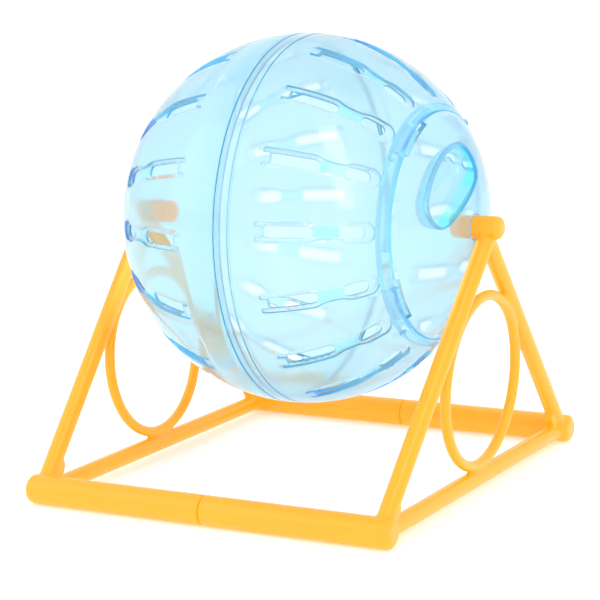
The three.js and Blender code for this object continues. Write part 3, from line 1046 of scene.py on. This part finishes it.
ballLook = {
    "skinPale": (0.925, 0.968, 0.99, 1),
    "skinDeep": (0.90, 0.958, 0.985, 1),
    "cloudScale": 14.0,
    # painted shade: a bluer skin towards both poles, for the deeper blue seen where the skin curves away
    "paintedPoleBlue": (0.85, 0.94, 1.0, 1),
    "poleFrom": 45 * mm,
    "poleTo": 70 * mm,
    # painted shade: faces that stand across the skin get a deeper blue
    "paintedEdgeBlue": (0.45, 0.83, 1.0, 1),
    "paintedRimBlue": (0.36, 0.88, 1.0, 1),  # painted shade, a brighter cyan on the edges round the thumb recess
    "rimReach": 33 * mm,
    # painted shade: a dark blue line along the seam's edges
    "paintedSeamShade": (0.14, 0.42, 0.60, 1),
    # painted light: the skin glows faintly and its edges more, as if light were caught in the walls
    "paintedSkinGlow": (0.003, 0.012, 0.015, 1),
    "paintedEdgeGlow": (0.022, 0.105, 0.155, 1),
    "bodyBlue": (0.095, 0.84, 1.0, 1),  # what the light keeps on its way through the plastic
    "bodyDensity": 142.0,
    "clearness": 0.84,
    "roughness": 0.05,
    "roughSpread": 0.05,
    "roughScale": 40.0,
    "waveScale": 25.0,
    "waveStrength": 0.05,
    "waveDepth": 0.4 * mm,
}


def ballPlastic():
    finish = Finish("clear blue plastic")
    place = finish.place()
    # painted shade: the edge attribute says how much deeper blue each face is painted
    edge = finish.node("ShaderNodeAttribute", {"attribute_name": "edge"}).out("Fac")
    cloud = finish.noise(place, ballLook["cloudScale"], 2.0)
    spread = finish.noise(place, ballLook["roughScale"], 2.0)
    wave = finish.noise(place, ballLook["waveScale"], 1.0)
    x, y, z = finish.parts(place)
    # painted shade: bluer towards the poles and round the thumb recess
    nearPole = (x.size() - ballLook["poleFrom"]) * (1 / (ballLook["poleTo"] - ballLook["poleFrom"]))
    fromAxle = (y * y + (z - axle) * (z - axle)).root()
    nearRim = fromAxle.below(ballLook["rimReach"]) * (1 - x.below(ballLook["poleFrom"]))
    skin = finish.mix(cloud, ballLook["skinDeep"], ballLook["skinPale"])
    skin = finish.mix(nearPole, skin, ballLook["paintedPoleBlue"])
    edgeShadeTint = finish.mix(nearRim, ballLook["paintedEdgeBlue"], ballLook["paintedRimBlue"])
    surface = finish.node("ShaderNodeBsdfPrincipled", None, {
        "Base Color": finish.mix(edge - 1, finish.mix(edge, skin, edgeShadeTint), ballLook["paintedSeamShade"]),
        "Roughness": ballLook["roughness"] + ballLook["roughSpread"] * spread,
        "Normal": finish.bump(wave, ballLook["waveStrength"], ballLook["waveDepth"]),
        "IOR": 1.45,
        # painted light: the skin and its edges glow faintly cyan
        "Emission Color": finish.mix(edge, ballLook["paintedSkinGlow"], ballLook["paintedEdgeGlow"]),
        "Emission Strength": 1.0,
        "Transmission Weight": ballLook["clearness"],
    })
    volume = finish.node("ShaderNodeVolumeAbsorption", None,
                         {"Color": ballLook["bodyBlue"], "Density": ballLook["bodyDensity"]})
    return finish.finished(surface, volume)


def dressed(piece, material, body, nodes):
    # smooth shading, its material, and what it is in the frame
    pick(piece)
    bpy.ops.object.shade_smooth_by_angle(angle=radians(35), keep_sharp_edges=False)
    piece.data.materials.clear()
    piece.data.materials.append(material)
    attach(piece, body)
    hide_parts(*nodes)


# Room

room = {
    "floorSize": 6.0,
    "floorDrop": 0.1 * mm,
    "floorPale": (0.95, 0.95, 0.95, 1),
    "floorDeep": (0.93, 0.93, 0.93, 1),
    "speckleScale": 120.0,
    "floorRoughness": 0.6,
    "floorGlow": 0.28,
    "white": (1, 1, 1, 1),
    "worldStrength": 1.07,
    "bounces": 24,
    "lightsAim": Vector((0, 0, 80)) * mm,
    "lights": [  # name, turn from the front towards the right, height, distance, width, length, watts
        ("strip", 52, 38, 1.3, 0.24, 1.2, 3.0),
        ("fill", -45, 30, 1.3, 1.0, 1.0, 2.0),
    ],
}


def addFloor():
    pick()
    bpy.ops.mesh.primitive_plane_add(size=room["floorSize"], location=(0, 0, -room["floorDrop"]))
    floor = bpy.context.view_layer.objects.active
    floor.name = "floor"
    finish = Finish("pale floor")
    speckle = finish.noise(finish.place(), room["speckleScale"], 3.0)
    surface = finish.node("ShaderNodeBsdfPrincipled", None, {
        "Base Color": finish.mix(speckle, room["floorDeep"], room["floorPale"]),
        "Roughness": room["floorRoughness"],
        "Emission Color": room["white"],
        "Emission Strength": room["floorGlow"],
    })
    floor.data.materials.append(finish.finished(surface))


def addLights():
    world = bpy.data.worlds.new("soft light")
    bpy.context.scene.world = world
    world.use_nodes = True
    back = world.node_tree.nodes["Background"]
    back.inputs["Color"].default_value = room["white"]
    back.inputs["Strength"].default_value = room["worldStrength"]
    for name, turn, height, distance, width, length, watts in room["lights"]:
        data = bpy.data.lights.new(name, "AREA")
        data.shape = "RECTANGLE"
        data.size = width
        data.size_y = length
        data.energy = watts
        light = bpy.data.objects.new(name, data)
        bpy.context.scene.collection.objects.link(light)
        az, el = radians(turn), radians(height)
        out = Vector((sin(az) * cos(el), -cos(az) * cos(el), sin(el)))
        facing = out.to_track_quat("Z", "Y").to_matrix().to_4x4()
        light.matrix_world = Matrix.Translation(room["lightsAim"] + out * distance) @ facing
    scene = bpy.context.scene
    scene.view_settings.view_transform = "Standard"
    scene.cycles.max_bounces = room["bounces"]
    scene.cycles.glossy_bounces = room["bounces"]
    scene.cycles.transmission_bounces = room["bounces"]
    print("room lit")


addCamera()

rightRods = frameShell()
leftRods = copied(rightRods, "left_rods")
rightStand = moulding("right_stand_moulding", rightRods, False)
leftStand = mirrored(moulding("left_stand_moulding", leftRods, True))
yellow = standPlastic()
for piece, side in ((rightStand, "right"), (leftStand, "left")):
    nodes = (side + "_frame", "front_bar_" + side, "rear_bar_" + side)
    dressed(piece, yellow, side + "_stand", nodes)
print("stand made")

blue = ballPlastic()
rightShell = placed(rightHalf(), z=axle)
leftShell = placed(mirrored(slotted("ball_left_shell", leftOutline(), ball["slotTurnLeft"])), z=axle)
lid = placed(doorShell(), z=axle)
for piece, body, node in ((rightShell, "ball", "ball_right_half"), (leftShell, "ball", "ball_left_half"),
                          (lid, "door", "door")):
    paintEdgeShade(piece)
    dressed(piece, blue, body, (node,))
print("ball made")

addFloor()
addLights()
